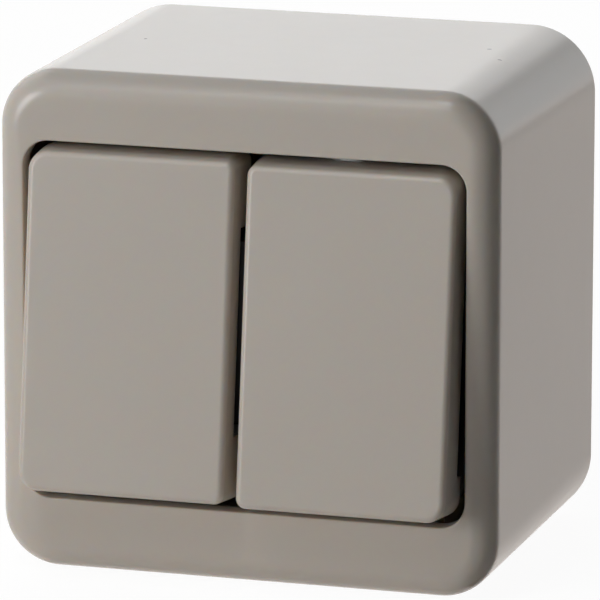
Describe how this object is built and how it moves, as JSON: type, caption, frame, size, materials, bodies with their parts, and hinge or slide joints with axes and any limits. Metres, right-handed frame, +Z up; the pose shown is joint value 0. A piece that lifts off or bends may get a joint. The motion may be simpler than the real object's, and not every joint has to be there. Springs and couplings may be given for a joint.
{
  "type": "surface-mounted double rocker light switch",
  "caption": "Cube-like surface-mounted light switch with a deep rounded housing, a pair of tall rockers in one opening, and the sprung see-saw contact mechanism behind them.",
  "frame": {"origin": "centre of the wall face, between the wall screw holes, at the middle of the cable hole", "axes": "+X to the right seen from the front, +Y into the wall, +Z up; the rockers face -Y"},
  "size_m": [0.065, 0.0534, 0.0644],
  "materials": {
    "housing_shell": "smooth, semi-gloss cream-white thermoplastic",
    "rocker_cap": "smooth, semi-gloss cream-white thermoplastic",
    "base_plastic": "matt cream-white thermoplastic",
    "mechanism_plastic": "matt black thermoset",
    "socket_plastic": "matt grey thermoset",
    "actuator_plastic": "matt dark grey nylon",
    "plunger_plastic": "natural acetal",
    "terminal_brass": "stamped brass",
    "contact_silver": "silver contact alloy",
    "screw_steel": "zinc-plated steel",
    "spring_steel": "drawn spring wire",
    "grommet_rubber": "soft black rubber"
  },
  "bodies": {
    "switch_body": {"housing": "housing_shell", "wall_base": "base_plastic", "cable_grommet": "grommet_rubber", "mechanism_base": "socket_plastic", "mechanism_cover": "mechanism_plastic", "common_terminal": "terminal_brass", "common_screw": "screw_steel", "upper_base_screw": "screw_steel", "lower_base_screw": "screw_steel", "upper_cover_screw": "screw_steel", "lower_cover_screw": "screw_steel", "left_output_terminal": "terminal_brass", "left_output_screw": "screw_steel", "left_fixed_contact": "contact_silver", "right_output_terminal": "terminal_brass", "right_output_screw": "screw_steel", "right_fixed_contact": "contact_silver"},
    "left_rocker_body": {"left_rocker": "rocker_cap", "left_actuator": "actuator_plastic", "left_plunger_spring": "spring_steel"},
    "left_plunger_body": {"left_plunger": "plunger_plastic"},
    "left_lever_body": {"left_contact_lever": "terminal_brass", "left_moving_contact": "contact_silver"},
    "right_rocker_body": {"right_rocker": "rocker_cap", "right_actuator": "actuator_plastic", "right_plunger_spring": "spring_steel"},
    "right_plunger_body": {"right_plunger": "plunger_plastic"},
    "right_lever_body": {"right_contact_lever": "terminal_brass", "right_moving_contact": "contact_silver"}
  },
  "joints": [
    {"name": "left_rocker_tilt", "type": "hinge", "parent": "switch_body", "child": "left_rocker_body", "pos_m": [-0.01417, -0.04362, 0], "axis": [1, 0, 0], "range_deg": [0, 14]},
    {"name": "left_plunger_slide", "type": "slide", "parent": "left_rocker_body", "child": "left_plunger_body", "axis": [0, -0.9925, 0.1219], "range_m": [0, 0.0012], "stiffness_N_per_m": 800, "springref_m": -0.0015, "deforming": ["left_plunger_spring"]},
    {"name": "left_lever_tilt", "type": "hinge", "parent": "switch_body", "child": "left_lever_body", "pos_m": [-0.01417, -0.03, 0], "axis": [1, 0, 0], "range_deg": [-18, 0]},
    {"name": "right_rocker_tilt", "type": "hinge", "parent": "switch_body", "child": "right_rocker_body", "pos_m": [0.01417, -0.04362, -0.00025], "axis": [1, 0, 0], "range_deg": [0, 14]},
    {"name": "right_plunger_slide", "type": "slide", "parent": "right_rocker_body", "child": "right_plunger_body", "axis": [0, -0.9925, 0.1219], "range_m": [0, 0.0012], "stiffness_N_per_m": 800, "springref_m": -0.0015, "deforming": ["right_plunger_spring"]},
    {"name": "right_lever_tilt", "type": "hinge", "parent": "switch_body", "child": "right_lever_body", "pos_m": [0.01417, -0.03, -0.00025], "axis": [1, 0, 0], "range_deg": [-18, 0]}
  ],
  "couplings": [
    {"joint": "left_lever_tilt", "follows": "left_rocker_tilt", "ratio": -1.2857},
    {"joint": "right_lever_tilt", "follows": "right_rocker_tilt", "ratio": -1.2857}
  ]
}
